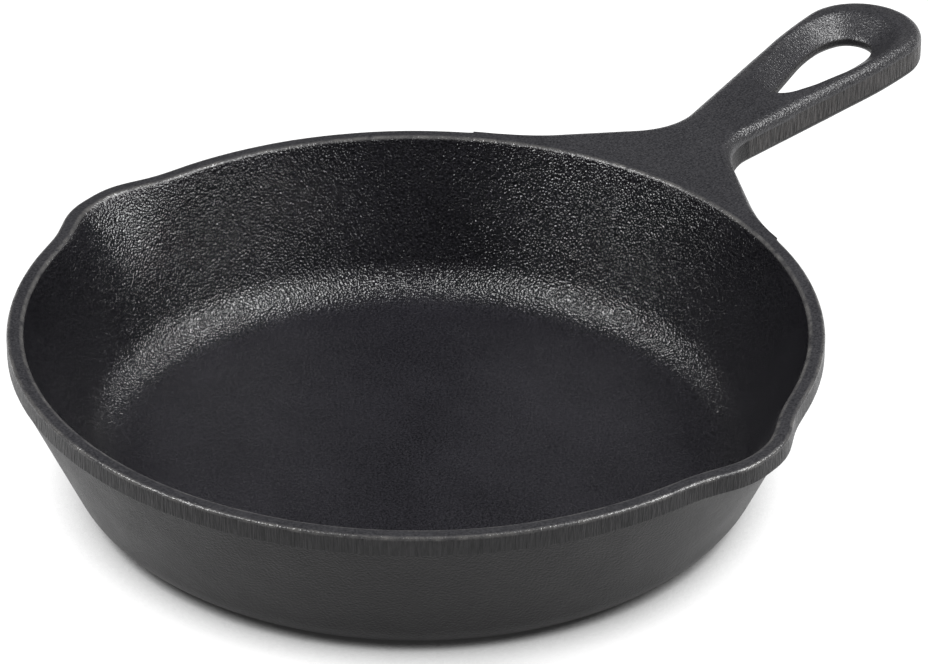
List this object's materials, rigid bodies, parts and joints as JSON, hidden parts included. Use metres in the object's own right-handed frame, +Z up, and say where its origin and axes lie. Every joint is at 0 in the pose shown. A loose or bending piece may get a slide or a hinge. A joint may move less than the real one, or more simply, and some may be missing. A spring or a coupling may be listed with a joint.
{
  "type": "skillet",
  "caption": "Small round cast iron skillet with flared walls, a pour spout on each side and a short flat handle that ends in a dished teardrop hanging loop.",
  "frame": {"origin": "centre of the flat base, on the surface the pan stands on", "axes": "+X along the handle, +Z up out of the pan, the pour spouts on +Y and -Y"},
  "size_m": [0.261, 0.1724, 0.0352],
  "materials": {
    "cooking_floor": "seasoned satin black, fine grain",
    "wall": "seasoned satin black, pebbled sand-cast grain",
    "ground_rim": "seasoned over a ground band, fine upright grinding marks",
    "handle": "seasoned matt black, ground sides"
  },
  "bodies": {
    "root": {"pan_floor": "cooking_floor", "side_wall": "wall", "rim_handle_side": "ground_rim", "rim_far_side": "ground_rim", "pour_lip_left": "ground_rim", "pour_lip_right": "ground_rim", "handle_root": "handle", "handle_neck": "handle", "hanging_loop": "handle"}
  },
  "joints": []
}
